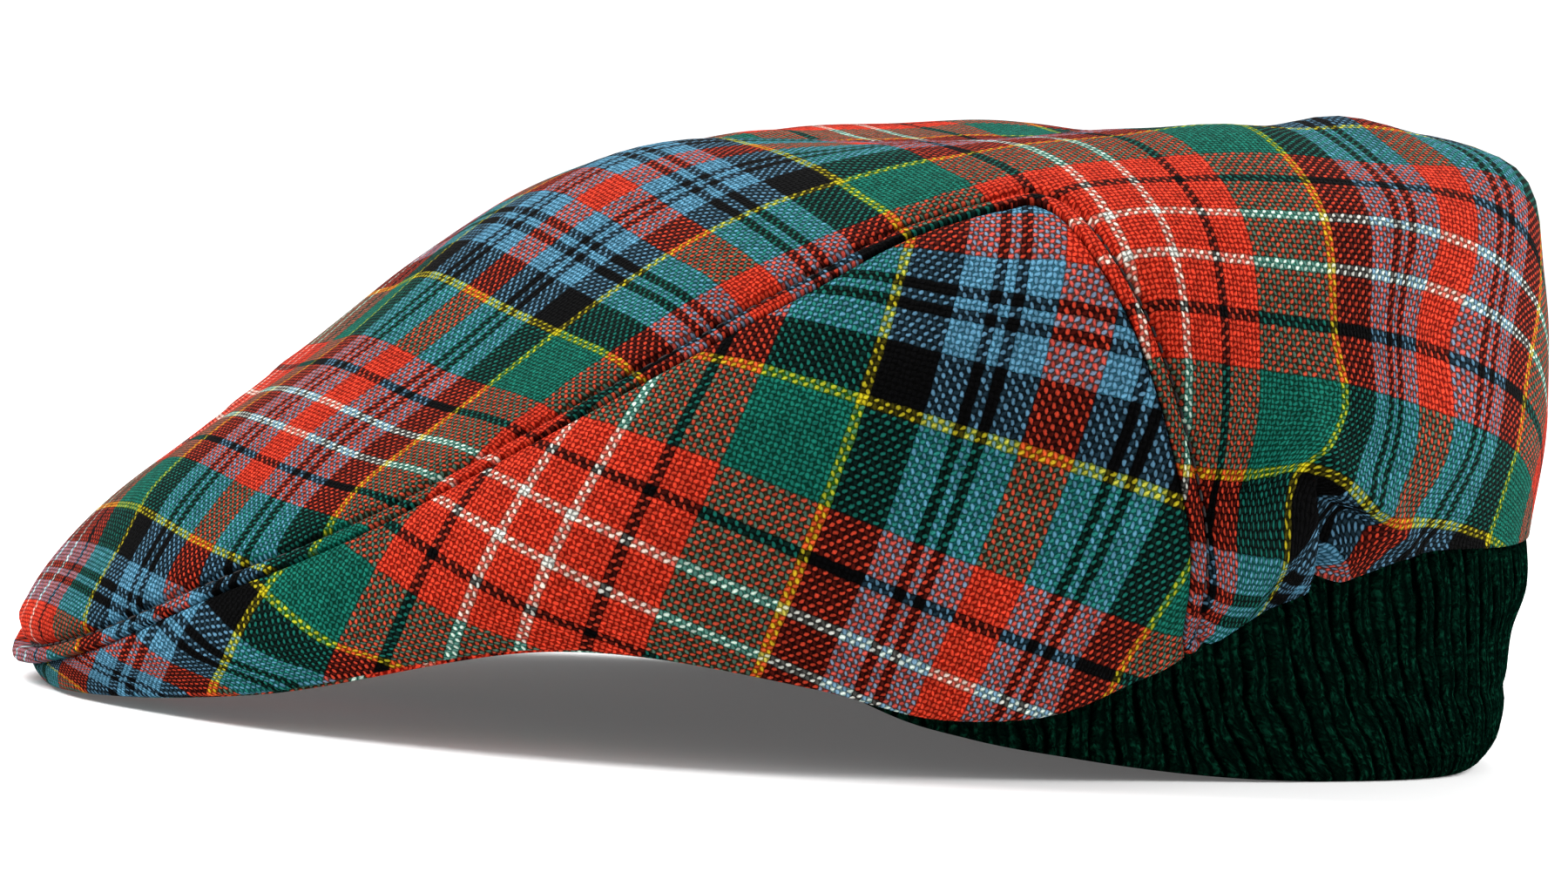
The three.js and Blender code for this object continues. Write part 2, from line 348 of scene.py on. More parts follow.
@dataclass(frozen=True)
class Tartan:
    """Plain woven wool tartan. Both ways of the cloth repeat the same half sett, mirrored at its ends."""

    name: str = "tartan_wool"
    uv_map: str = "threads"
    half_sett: tuple[tuple[Yarn, int], ...] = (
        (Yarn.RED, 5), (Yarn.AZURE, 6), (Yarn.BLACK, 2), (Yarn.AZURE, 2), (Yarn.BLACK, 2), (Yarn.AZURE, 6),
        (Yarn.BLACK, 10), (Yarn.YELLOW, 2), (Yarn.GREEN, 18), (Yarn.RED, 8), (Yarn.BLACK, 2), (Yarn.RED, 8),
        (Yarn.WHITE, 2), (Yarn.RED, 4),
    )
    relief: float = 0.00034
    twist: float = 0.3

    def stops(self) -> list:
        """Where each yarn's band starts, as a share of the half sett, and its colour."""
        counts = np.array([count for _, count in self.half_sett])
        starts = (np.cumsum(counts) - counts) / counts.sum()
        return [(float(start), yarn.value) for start, (yarn, _) in zip(starts, self.half_sett)]

    def yarn_colour(self, shader: Shader, thread: Socket) -> Socket:
        """Colour of a numbered thread, read off the half sett that runs up and back."""
        half = float(sum(count for _, count in self.half_sett))
        share = (thread + 0.5).zigzag(half) / half
        ramp = shader.node("ShaderNodeValToRGB", {"stops": self.stops()}, {0: share})
        return Socket(shader, ramp.outputs[0])

    def material(self) -> bpy.types.Material:
        """Weave the cloth.

        A thread's number is the whole part of its count. Lengthwise threads lie on top where the sum of the
        two numbers is odd, crosswise ones elsewhere. Each crossing is a seed-shaped dome, longer along its
        thread and leaning with the yarn's twist, and its colour is painted darker from its crown to its edges
        (painted shade). Between the seeds the yarn below shows through, in painted shade lit by a painted
        glow of its own colour, and a top yarn over a dark one is dimmed by more painted shade.

        Returns:
            The material.
        """
        shader = Shader(self.name)
        u, v = shader.threads(self.uv_map)
        sway = 0.5 * (shader.noise(u, v, 0.31) - 0.5) + 0.42 * (shader.noise(u, v, 1.1) - 0.5)
        drift = 0.5 * (shader.noise(v, u, 0.31) - 0.5) + 0.42 * (shader.noise(v, u, 1.1) - 0.5)
        u, v = u + sway, v + drift
        across, along = u.floor(), v.floor()
        on_top = (across + along).zigzag(1.0).ramp(0.4, 0.6)
        warp, weft = self.yarn_colour(shader, across), self.yarn_colour(shader, along)
        upper, lower = shader.mix(on_top, weft, warp), shader.mix(on_top, warp, weft)
        a, b = u.fraction() * 2 - 1, v.fraction() * 2 - 1
        warp_dome = 1 - 1.05 * (a + self.twist * b) ** 2 - 0.62 * b ** 2
        weft_dome = 1 - 0.62 * a ** 2 - 1.05 * (b - self.twist * a) ** 2
        dome = weft_dome + (warp_dome - weft_dome) * on_top
        warp_fibre = shader.noise(u * 5, v * 1.7, 1.0, 3.0)
        weft_fibre = shader.noise(u * 1.7, v * 5, 1.0, 3.0)
        fibre = weft_fibre + (warp_fibre - weft_fibre) * on_top
        blotch = shader.noise(u, v, 0.045, 3.0)
        streak = shader.noise(across * 0.73, v * 0.09, 1.0, 1.0)
        seed = shader.speck(across, along)
        # painted shade: the dome ramp darkens each seed from its crown to its edges; fibre and seed vary the
        # tone at random
        crown = (0.54 + 0.56 * dome.ramp(0.25, 1.0)) * (0.5 + fibre) * (0.72 + 0.56 * seed)
        upper = shader.mix(0.08, upper, lower)
        upper = shader.times(upper, shader.grey(crown))
        # painted light: the gap glows with the colour of the yarn below, so it stays nearly black over dark
        # yarn
        painted_glow = shader.mix(1.0, shader.times(lower, tone(3.0)), tone(0.03), "ADD")
        painted_glow = shader.mix(1.0, painted_glow, tone(0.62), "DARKEN")
        gap = shader.times(upper, painted_glow)
        # painted shade: the top yarn is dimmed where the yarn below is dark
        shade = shader.mix(1.0, shader.times(painted_glow, tone(0.42)), tone(0.74), "ADD")
        upper = shader.times(upper, shade)
        colour = shader.mix(dome.ramp(0.12, 0.74), gap, upper)
        wash = (0.86 + 0.28 * blotch) * (0.9 + 0.2 * streak)
        colour = shader.times(colour, shader.grey(wash))
        height = dome.math("MAXIMUM", 0.0) ** 0.5 + 0.25 * fibre
        return shader.finish(colour, height, self.relief, {
            "Roughness": 0.85, "Specular IOR Level": 0.03, "Sheen Weight": 0.0,
        })


@dataclass(frozen=True)
class RibKnit:
    """Dark wool knit: stitches stacked in wales, two wales to a rib."""

    name: str = "dark_rib_knit"
    uv_map: str = "stitches"
    dark: tuple[float, float, float] = linear(1, 12, 8)
    light: tuple[float, float, float] = linear(10, 54, 38)
    relief: float = 0.0005

    def material(self) -> bpy.types.Material:
        """Knit the cloth.

        Each stitch is a V: two strands that lean in to the wale's middle, so the height is a wave along the
        course count with the distance from the middle added. Strands carry paler fibres, in broken runs; they
        are laid mostly on the raised strands and wale crests, so they are partly a painted highlight. The
        sides of each wale and the grooves between ribs are darkened in broken runs: painted shade.

        Returns:
            The material.
        """
        shader = Shader(self.name)
        wale, course = shader.threads(self.uv_map)
        wale = wale + 0.9 * (shader.noise(wale * 0.7, course * 0.2, 1.0, 3.0) - 0.5)
        course = course + 1.4 * (shader.noise(wale * 1.3, course * 0.6, 1.0) - 0.5)
        off = (wale.fraction() - 0.5).size()
        strand = ((course + off * 0.9) * (2 * math.pi)).wave() * 0.5 + 0.5
        fibre = shader.noise(wale * 4.0, course * 1.6, 1.0, 5.0)
        runs = shader.noise(wale * 1.1, course * 0.45, 1.0, 3.0)
        cloud = shader.noise(wale * 0.12, course * 0.12, 1.0, 2.0)
        crest = 1 - off.ramp(0.2, 0.5)
        groove = ((wale * 0.5).fraction() - 0.5).size().ramp(0.24, 0.46)
        groove = groove * shader.noise(wale * 0.8, course * 0.16, 1.0, 2.0).ramp(0.28, 0.56)
        # paler fibres in broken runs, placed by strand and crest: the yarn's own tone, partly a painted
        # highlight on the raised parts
        pale = (0.45 + 0.55 * strand) * crest * fibre.ramp(0.36, 0.66) * (0.12 + 0.88 * runs.ramp(0.36, 0.62))
        colour = shader.mix(pale * (0.5 + cloud), (*self.dark, 1), (*self.light, 1))
        # painted shade: darker at the sides of each wale and in the grooves between ribs
        colour = shader.times(colour, shader.grey((0.6 + 0.4 * crest) * (1 - 0.85 * groove)))
        height = strand * (0.4 + 0.6 * crest) + 0.35 * fibre
        return shader.finish(colour, height, self.relief, {
            "Roughness": 0.9, "Specular IOR Level": 0.0, "Sheen Weight": 0.0,
        })


@dataclass(frozen=True)
class SewingThread:
    """Dark twisted sewing thread."""

    name: str = "dark_thread"
    colour: tuple[float, float, float] = linear(26, 24, 26)
    pale: tuple[float, float, float] = linear(52, 48, 48)
    grain: float = 2500.0
    relief: float = 0.0001

    def material(self) -> bpy.types.Material:
        """Spin the thread: fine noise over a dark colour."""
        shader = Shader(self.name)
        fibre = shader.cloud(self.grain)
        colour = shader.mix(fibre, (*self.colour, 1), (*self.pale, 1))
        return shader.finish(colour, fibre, self.relief, {"Roughness": 0.7, "Specular IOR Level": 0.3})


@dataclass(frozen=True)
class StudioFloor:
    """Pale matt floor that curves up all round, far away, with a faint painted glow that lightens the shadow
    under the cap. Its sizes are metres.
    """

    name: str = "pale_floor"
    middle: float = 0.02
    flat_radius: float = 2.6
    radius: float = 9.0
    height: float = 5.0
    spokes: int = 96
    shade: float = 0.84
    pale: float = 0.86
    cloud: float = 3.0
    # strength of the floor's painted glow
    painted_glow: float = 0.1

    def build(self) -> bpy.types.Object:
        """Make the floor: rings of points, level in the middle and rising with the square outside.

        Returns:
            The floor's object.
        """
        level = np.linspace(self.middle, self.flat_radius, 8)
        r = np.concatenate([level, np.linspace(self.flat_radius, self.radius, 25)[1:]])
        out = np.clip(r - self.flat_radius, 0, None) / (self.radius - self.flat_radius)
        turn = np.linspace(0, 2 * np.pi, self.spokes, endpoint=False)[:, None]
        points = np.stack(np.broadcast_arrays(r * np.cos(turn), r * np.sin(turn), self.height * out ** 2), -1)
        faces = grid_faces(self.spokes, len(r), ring=True)[:, ::-1]
        middle = np.arange(self.spokes)[None] * len(r)
        floor = mesh_object(self.name, points.reshape(-1, 3) / MM, faces, middle)
        shader = Shader(self.name)
        colour = shader.mix(shader.cloud(self.cloud), tone(self.shade), tone(self.pale))
        # painted light: the floor glows faintly, lightening the shadow under the cap
        floor.data.materials.append(shader.finish(colour, 0.0, 0.001, {
            "Roughness": 0.95, "Specular IOR Level": 0.1,
            "Emission Color": (1, 1, 1, 1), "Emission Strength": self.painted_glow,
        }))
        return floor


def mesh_object(name: str, points: Array, faces: Array, caps: Array | None = None,
                uv: Array | None = None, uv_map: str = "threads") -> bpy.types.Object:
    """Make a smooth mesh object at the origin.

    Args:
        name: The object's name.
        points: Points in millimetres.
        faces: Point numbers of its faces.
        caps: More faces, which may have another number of corners.
        uv: Two counts for each point, where the finish follows the surface.
        uv_map: Name of the map that holds them.

    Returns:
        The object.
    """
    mesh = bpy.data.meshes.new(name)
    lists = faces.tolist() + ([] if caps is None else caps.tolist())
    mesh.from_pydata((points * MM).tolist(), [], lists)
    mesh.polygons.foreach_set("use_smooth", np.ones(len(mesh.polygons), bool))
    if uv is not None:
        layer = mesh.uv_layers.new(name=uv_map)
        corner = np.empty(len(mesh.loops), np.int32)
        mesh.loops.foreach_get("vertex_index", corner)
        layer.data.foreach_set("uv", uv[corner].astype(np.float32).ravel())
    mesh.update()
    made = bpy.data.objects.new(name, mesh)
    bpy.context.scene.collection.objects.link(made)
    return made


def looped_piece(name: str, loop: Array, uv: Array, uv_map: str) -> bpy.types.Object:
    """Make a mesh of closed sections side by side, with a cap of quads at both ends.

    Args:
        name: The object's name.
        loop: Points in columns, each along one face and back along the other.
        uv: Two counts for each point.
        uv_map: Name of the map that holds them.

    Returns:
        The object.
    """
    columns, tall = loop.shape[:2]
    j = np.arange(tall // 2 - 1)
    cap = np.stack([j, j + 1, tall - 2 - j, tall - 1 - j], 1)
    caps = np.concatenate([cap, (cap + (columns - 1) * tall)[:, ::-1]])
    faces = grid_faces(columns, tall, loop=True)
    return mesh_object(name, loop.reshape(-1, 3), faces, caps, uv.reshape(-1, 2), uv_map)


@dataclass(frozen=True)
class Crown:
    """The crown's outer surface, which all panels lie on."""

    # direction, then distance from the axis and height of rim, belly, shoulder and upper crown
    sections: tuple[tuple[float, ...], ...] = (
        (0, 164, 0.6, 163, 6.5, 107, 64.5, 61, 99.5),
        (20, 152.5, 5.5, 151.5, 11, 108, 61.5, 61, 98.5),
        (40, 132, 18, 133, 22, 100, 74, 59, 99),
        (60, 113, 14.5, 114.5, 31, 94, 82, 58, 102),
        (70, 105, 10.5, 108.5, 35, 93.5, 85.5, 58, 103),
        (80, 99, 11, 104, 39, 93, 89, 58, 104.5),
        (100, 91, 23, 103.5, 43, 93, 94.5, 58, 107),
        (120, 95, 38, 108, 56, 98, 99.5, 60, 110),
        (145, 109, 41.5, 112, 65, 102, 105, 63, 110),
        (180, 110, 42, 111.5, 67, 105, 109, 62, 112),
    )
    apex: float = 105.0
    apex_rise: float = 0.085
    axis_y: float = 26.25
    cloth: float = 1.8
    # direction, height up the crown (0 rim, 1 apex), half widths of both, and height of each soft fold
    folds: tuple[tuple[float, ...], ...] = (
        (172, 0.69, 40, 0.06, -1.2),
        (165, 0.53, 34, 0.06, 2),
        (122, 0.62, 42, 0.085, 3),
        (144, 0.42, 11.5, 0.18, 3.4),
        (147, 0.58, 10, 0.06, 2.9),
        (-176, 0.54, 42, 0.1, -2.9),
        (167, 0.3, 25, 0.06, -3),
        (-100, 0.75, 80, 0.2, -1.8),
    )

    def rim(self, deg: Array) -> tuple[Array, Array]:
        """Distance from the axis and height of the rim in each direction."""
        side = np.abs(turn_of(deg))
        return table_at(self.sections, 1, side), table_at(self.sections, 2, side)

    def knots(self, deg: Array) -> tuple[Array, Array, Array]:
        """Distances, heights and run of the five knots of each direction's curve."""
        side = np.abs(turn_of(deg))
        columns = [table_at(self.sections, k, side) for k in range(1, 9)]
        r = np.stack([*columns[::2], np.zeros_like(side)], -1)
        z = np.stack([*columns[1::2], np.full_like(side, self.apex)], -1)
        return r, z, run_along(np.stack([r, z], -1), 1)

    def length(self, deg: Array) -> Array:
        """Length of each direction's curve, knot to knot."""
        return self.knots(deg)[2][:, -1]

    def at(self, deg: Array, up: Array) -> Array:
        """Points of the plain crown.

        Args:
            deg: One direction for each column.
            up: Heights up the crown, one row for each direction.

        Returns:
            A point for each height.
        """
        r, z, run = self.knots(deg)
        x = up * run[:, -1:]
        first = run[:, 1]
        tip = -r[:, 3] / (run[:, 4] - run[:, 3])
        lean = self.apex_rise * np.cos(np.radians(deg))
        far = smooth(run, r, x, (r[:, 1] - r[:, 0]) / first, tip)
        high = smooth(run, z, x, (z[:, 1] - z[:, 0]) / first, lean)
        return polar(deg[:, None], far, high, self.axis_y)

    def skin(self, deg: Array, up: Array) -> tuple[Array, Array]:
        """Points of the plain crown and the outward normals there, across the turn and the climb.

        Args:
            deg: One direction for each column.
            up: Heights up the crown, one row for each direction.

        Returns:
            Points and unit normals. At the apex, where all columns meet, the normal is the leaning axis.
        """
        points = self.at(deg, up)
        turn = self.at(deg + 0.1, up) - self.at(deg - 0.1, up)
        climb = self.at(deg, np.minimum(up + 0.001, 1)) - self.at(deg, np.maximum(up - 0.001, 0))
        normal = np.cross(turn, climb)
        size = np.linalg.norm(normal, axis=-1, keepdims=True)
        top = np.array([0, -self.apex_rise, 1.0])
        return points, np.where(size > 1e-7, normal / np.maximum(size, 1e-12), top)

    def fold_height(self, deg: Array, up: Array) -> Array:
        """Sum of the soft folds: a bell in both ways for each."""
        total = np.zeros(up.shape)
        for at_deg, at_up, wide_deg, wide_up, height in self.folds:
            away = turn_of(deg[:, None] - at_deg)
            total += height * bell(away / wide_deg) * bell((up - at_up) / wide_up)
        return total


@dataclass(frozen=True)
class PanelSeam:
    """The seam between the top panel and the side panels, from the right side over the front to the left."""

    crown: Crown
    # direction from its lowest point, height up the crown
    line: tuple[tuple[float, float], ...] = (
        (0, 0.013), (6, 0.017), (13, 0.043), (20, 0.109), (27.5, 0.166), (37, 0.241), (52, 0.384),
        (66, 0.506), (75, 0.54), (79, 0.541), (81, 0.518), (84, 0.436), (88, 0.335), (93, 0.185), (99, 0),
    )
    foot: float = 99.0
    strip: float = 3.0
    groove: float = 3.3
    lip_spread: float = 12.0
    setback: float = 4.8
    twist: float = 6.0
    twist_spread: float = 18.0

    def side(self, deg: Array) -> Array:
        """Direction from the seam's lowest point, which a twist puts a little right of the middle."""
        deg = turn_of(deg)
        return np.abs(deg + self.twist * bell(deg / self.twist_spread))

    def up(self, deg: Array) -> Array:
        """Height of the seam up the crown; behind its foot the panel ends at the rim."""
        side = self.side(deg)
        return np.where(side < self.foot, table_at(self.line, 1, np.minimum(side, self.foot)), 0.0)

    def points(self) -> Array:
        """Points along the seam, about 0.4 mm apart."""
        deg = np.linspace(-self.foot, self.foot, 8000)
        line = self.crown.at(deg, self.up(deg)[:, None])[:, 0]
        run = run_along(line)
        even = np.linspace(0, run[-1], int(run[-1] / 0.4))
        return np.stack([np.interp(even, run, line[:, k]) for k in range(3)], -1)

    def distance(self, points: Array) -> tuple[Array, Array]:
        """Distance of a grid of points from the seam, and the run along the seam there.

        Args:
            points: Points in columns.

        Returns:
            Distances and runs, both in columns.
        """
        line = self.points()
        run = run_along(line)
        near = np.empty(points.shape[:2])
        place = np.empty(points.shape[:2])
        for row in range(points.shape[1]):
            square = ((points[:, row, None] - line) ** 2).sum(-1)
            near[:, row] = np.sqrt(square.min(1))
            place[:, row] = run[square.argmin(1)]
        return near, place

    def lip(self, deg: Array) -> Array:
        """How much the front lip shows in a direction: 1 at the front, fading to the sides."""
        return bell(self.side(deg) / self.lip_spread)[:, None]

    def flange(self, away: Array, lip: Array) -> Array:
        """How far the strip stands out level as a lip at the front, by distance from the seam."""
        return 0.8 * lip * (1 - ease(away, 1.8, 3.4))

    def top_relief(self, away: Array, run: Array, lip: Array) -> Array:
        """Relief of the top panel by distance from the seam.

        A flat strip stands proud up to the stitch line, the stitches pull a groove, and the cloth puffs up
        behind it with small puckers along the seam, which all fade away.
        """
        strip = 0.3 * (1 - ease(away, self.strip - 0.6, self.groove))
        groove = -(1.55 + 0.8 * lip) * bell((away - self.groove) / 0.6)
        puff = (0.5 + 1.2 * lip) * ease(away, self.groove, 7.0) * (1 - ease(away, 8, 24))
        pucker = 0.22 * np.sin(run / 1.7 + 1.3 * np.sin(run / 9)) * bell((away - 6) / 3.2)
        return strip + groove + puff + pucker

    def side_relief(self, away: Array) -> Array:
        """Relief of the side panel: its edge dips under the strip, and it swells a little below."""
        return -0.3 * (1 - ease(away, 0.2, 1.6)) + 0.35 * bell((away - 6) / 4)


@dataclass(frozen=True)
class Pleat:
    """The fold of slack cloth behind the left seam, where the panel is drawn in over the band."""

    # height above the rim, direction of the fold's edge
    edge: tuple[tuple[float, float], ...] = (
        (0, 113.5), (5, 112.3), (12, 110.0), (20, 107.8), (28, 106.3), (40, 105.0),
    )
    radius: float = 98.0
    roof: float = 33.0
    roof_fall: float = 1.5

    def place(self, deg: Array, high: Array) -> tuple[Array, Array]:
        """Distance behind the fold's edge, and height under the roof line that falls away behind it."""
        behind = (deg[:, None] - table_at(self.edge, 1, np.clip(high, 0, 40))) * np.radians(self.radius)
        return behind, self.roof - self.roof_fall * np.clip(behind, 0, None) - high

    def relief(self, deg: Array, high: Array) -> Array:
        """Height of the fold over the plain crown.

        A flap swells up to its edge and drops into a pocket. The pocket's roof is the cloth above, which
        bulges over it, and its floor rises again to a puff along the rim.
        """
        behind, under = self.place(deg, high)
        low = 1 - ease(high, 3, 13)
        flap = 1.3 * ease(behind, -9, -0.5) * (1 - ease(behind, 0, 1.2)) * (1 - ease(high, 24, 36))
        pocket = -4.8 * ease(behind, 0, 1.6) * ease(under, -1, 4) * (1 - low) * (1 - ease(behind, 8, 16))
        notch = -4.0 * ease(behind, 0, 1.4) * (1 - ease(behind, 2, 8)) * low
        puff = 1.8 * ease(behind, 2, 9) * (1 - ease(behind, 14, 34)) * low
        roof = 1.6 * bell((under + 5) / 5) * ease(behind, -16, 2) * (1 - ease(behind, 14, 30))
        crease = -1.2 * bell((high - self.roof - 1) / 1.8)
        crease = crease * ease(behind, -26, -12) * (1 - ease(behind, -2, 4))
        return flap + pocket + notch + puff + roof + crease

    def droop(self, deg: Array, high: Array) -> Array:
        """How far the puff hangs below the plain rim."""
        behind, _ = self.place(deg, high)
        return 0.8 * ease(behind, 0.5, 6) * (1 - ease(behind, 12, 28)) * (1 - ease(high, 0, 14))

    def taken_up(self, deg: Array, high: Array, plain: Array, folded: Array) -> Array:
        """Threads that the pleat takes up: how much longer the folded cloth is than the plain crown.

        Down a column the extra length adds up from the apex. Along the rim it adds up across the columns
        and is given back behind the pleat.

        Args:
            deg: Directions of the columns.
            high: Heights above the rim.
            plain: Points of the plain crown.
            folded: The same points with the pleat in the cloth.

        Returns:
            The two counts to add, in columns.
        """
        behind, _ = self.place(deg, high)
        down = (run_along(folded[:, ::-1], 1) - run_along(plain[:, ::-1], 1))[:, ::-1]
        across = run_along(folded, 0) - run_along(plain, 0)
        left = ((deg > 0) & (deg < 179))[:, None]
        across = across * left * (1 - ease(behind, 16, 60)) * (1 - ease(high, 1, 9))
        return np.stack([down * left, across], -1)


def round_edge(away: Array, radius: float) -> Array:
    """How far a skin turns in at an edge: a quarter circle by distance from the edge."""
    left = np.clip(radius - away, 0, radius)
    return radius - np.sqrt(radius ** 2 - left ** 2)


def hand_waves(flat: Array) -> Array:
    """Slight unevenness of soft cloth: three crossed sine waves of a few centimetres."""
    w, l = flat[..., 0], flat[..., 1]
    return (0.30 * np.sin(w / 11 + 1.1 * np.sin(l / 23)) + 0.26 * np.sin(l / 13 - 0.8 * np.sin(w / 19) + 1.0)
            + 0.2 * np.sin((w + l) / 8.3 + 2.0))


@dataclass
class TopPanel:
    """The cloth over the whole crown, from the front point to the rim at the back."""

    crown: Crown
    seam: PanelSeam
    pleat: Pleat
    cloth: Tartan
    name: str = "tartan_top_panel"
    node: str = "top_panel"
    slot: str = "tartan_top"
    flat_size: tuple[float, float] = (0.30, 0.38)
    flat_area: float = 0.064
    seam_step: float = 1.15
    pleat_step: float = 0.42
    back_step: float = 1.9
    near_rows: tuple[float, ...] = (
        0.15, 0.25, 0.4, 0.6, 0.85, 1.15, 1.5, 1.9, 2.25, 2.55, 2.8, 3.05, 3.3, 3.55, 3.8, 4.1,
        4.5, 5.1, 5.9, 6.9, 8.0, 9.2, 10.4, 11.6, 12.8, 14.0, 15.2, 16.4, 17.6, 18.8, 20.0, 21.4,
        22.8, 24.2, 25.6, 27.0, 28.5, 30.0, 31.5, 33.0, 34.5, 36.2, 38.2, 40.5,
    )
    far_rows: int = 34
    # threads, then place and half width across and along the flat cloth (100 mm) of each pull on the left
    pulls: tuple[tuple[float, ...], ...] = (
        (8, 1.06, 0.13, 0.62, 0.14),
        (-6, 1.24, 0.09, 0.43, 0.13),
        (6, 0.95, 0.15, 0.95, 0.16),
        (6, 1.39, 0.08, 0.33, 0.12),
    )

    def columns(self) -> Array:
        """Directions of the columns, at even steps along the panel's edge, closest at the pleat."""
        deg = np.linspace(0, 180, 7201)
        edge = self.crown.at(deg, self.seam.up(deg)[:, None])[:, 0]
        close = ease(deg, 101, 104) * (1 - ease(deg, 115, 119))
        step = self.seam_step + (self.back_step - self.seam_step) * ease(deg, 126, 140)
        step = step + (self.pleat_step - step) * close
        count = np.concatenate([[0], np.cumsum(np.linalg.norm(np.diff(edge, axis=0), axis=1) / step[1:])])
        half = np.interp(np.linspace(0, count[-1], int(count[-1])), count, deg)
        return np.concatenate([half, -half[-2:0:-1]])

    def heights(self, deg: Array) -> Array:
        """Heights up the crown of each column's points.

        The first rows keep even distances from the edge, so their step up a column is divided by the cosine
        of the edge's slope. The rest share what is left up to the apex.
        """
        edge_up = self.seam.up(deg)
        length = self.crown.length(deg)
        climb = (self.seam.up(deg + 0.05) - self.seam.up(deg - 0.05)) * length
        far = np.linalg.norm(self.crown.at(deg, edge_up[:, None])[:, 0, :2] - [0, self.crown.axis_y], axis=-1)
        slope = np.hypot(1, np.clip(climb / (far * np.radians(0.1)), -2.6, 2.6))
        ring = np.concatenate([slope[-5:], slope, slope[:5]])
        slope = np.convolve(ring, np.ones(11) / 11, "valid")
        near = np.array(self.near_rows) * slope[:, None] / length[:, None]
        up = edge_up[:, None] + near
        share = np.linspace(0, 1, self.far_rows + 1)[1:]
        rest = up[:, -1:] + (1 - up[:, -1:]) * share
        return np.concatenate([up, rest], 1)

    def flat(self, deg: Array, points: Array) -> Array:
        """Places on the flat cloth: the run down each column from the apex, laid out in its direction."""
        run = run_along(points[:, ::-1], 1)[:, ::-1]
        angle = np.radians(deg)[:, None]
        return np.stack([run * np.sin(angle), -run * np.cos(angle)], -1)

    def threads(self, flat: Array) -> Array:
        """Thread counts on the flat cloth: about one to a millimetre, with the pull of the cloth's shape."""
        w, l = flat[..., 0] / 100, flat[..., 1] / 100
        side, back, front = np.abs(w), np.clip(l, 0, None), -l
        pull = -1.1 * side * back + 8.1 * side * back ** 2 - 12.2 * w ** 2 * back + 13.7 * side * back ** 3
        left, full = ease(w, 0.2, 0.6), np.sqrt(w ** 2 + 0.02)
        pull = pull + 6 * left * bell((side - 1.37) / 0.12) * bell((l - 0.4) / 0.2)
        bend = (front - 1.4 + np.sqrt((front - 1.4) ** 2 + 0.004)) / 2
        lengthwise = -18 + 102 * w + 2.4 * l - 48 * bend + np.sign(w) * pull
        start = 1.65 - 0.3 * ease(-w, 0.1, 0.35)
        turn = bell((w + 0.12) / np.where(w < -0.12, 0.5, 0.3)) * ease(front, start, 1.88)
        lengthwise = lengthwise - 18 * turn
        gather = 13.1 * full * back + 8.7 * full * back ** 2 + 3.4 * back ** 3 - 15.5 * w ** 2 * back ** 3
        swing = np.zeros_like(w)
        for count, across, wide, along, long in self.pulls:
            swing = swing + count * bell((side - across) / wide) * bell((l - along) / long)
        swing = swing - 10 * ease(side, 1.45, 1.62) * (1 - ease(l, 0.5, 0.7))
        nose = -8 * bell(w / 0.42) * ease(front, 1.45, 1.75) - 24 * np.clip(front - 1.84, 0, None)
        crosswise = 81.2 + 108.5 * l - 2.5 * l ** 2 - 3.6 * w ** 2 + 2.4 * w ** 2 * l - 15.8 * w ** 2 * l ** 2
        return np.stack([lengthwise, crosswise + gather + left * swing + nose], -1)

    def surface(self) -> tuple[Array, Array, Array]:
        """Outer skin, inner skin and thread counts, in columns from the edge up to the apex."""
        deg = self.columns()
        up = self.heights(deg)
        points, normal = self.crown.skin(deg, up)
        flat = self.flat(deg, points)
        away, run = self.seam.distance(points)
        hem = up * self.crown.length(deg)[:, None]
        lip = self.seam.lip(deg)
        folds = self.crown.fold_height(deg, up) + self.pleat.relief(deg, hem)
        edge = round_edge(np.minimum(away, hem + 0.15) - 0.15, 0.6)
        calm = ease(np.minimum(away, hem), 4, 20) * (1 - up ** 8)
        outer = folds + self.seam.top_relief(away, run, lip) + hand_waves(flat) * calm - edge
        inner = folds - self.crown.cloth + edge
        counts = self.threads(flat)
        folded = points + normal * self.pleat.relief(deg, hem)[..., None]
        counts = counts + self.pleat.taken_up(deg, hem, points, folded)
        points = points + polar(deg[:, None], self.seam.flange(away, lip), -self.pleat.droop(deg, hem), 0.0)
        return points + normal * outer[..., None], points + normal * inner[..., None], counts

    def build(self) -> bpy.types.Object:
        """Sew the panel: two skins of one closed wall, joined round the edge and each closed at the apex.

        Returns:
            The panel's object.
        """
        outside, inside, counts = self.surface()
        last_row = outside.shape[1] - 1
        pick = np.unique(np.concatenate([np.arange(0, 16, 3), np.arange(16, last_row, 3), [last_row]]))
        inside = inside[:, pick][:, ::-1]
        rows = np.concatenate([inside[:, 1:], outside[:, :-1]], 1)
        uv = np.concatenate([counts[:, pick][:, ::-1][:, 1:], counts[:, :-1]], 1)
        columns, tall = rows.shape[:2]
        poles = np.stack([inside[0, 0], outside[0, -1]])
        first, last = columns * tall, columns * tall + 1
        i = np.arange(columns)
        after = (i + 1) % columns
        caps = np.concatenate([
            np.stack([np.full(columns, first), after * tall, i * tall], 1),
            np.stack([i * tall + tall - 1, after * tall + tall - 1, np.full(columns, last)], 1),
        ])
        points = np.concatenate([rows.reshape(-1, 3), poles])
        uv = np.concatenate([uv.reshape(-1, 2), counts[0, -1:], counts[0, -1:]])
        faces = grid_faces(columns, tall, ring=True)
        return mesh_object(self.name, points, faces, caps, uv, self.cloth.uv_map)


class Side(Enum):
    """The two sides of the cap."""

    LEFT = 1
    RIGHT = -1


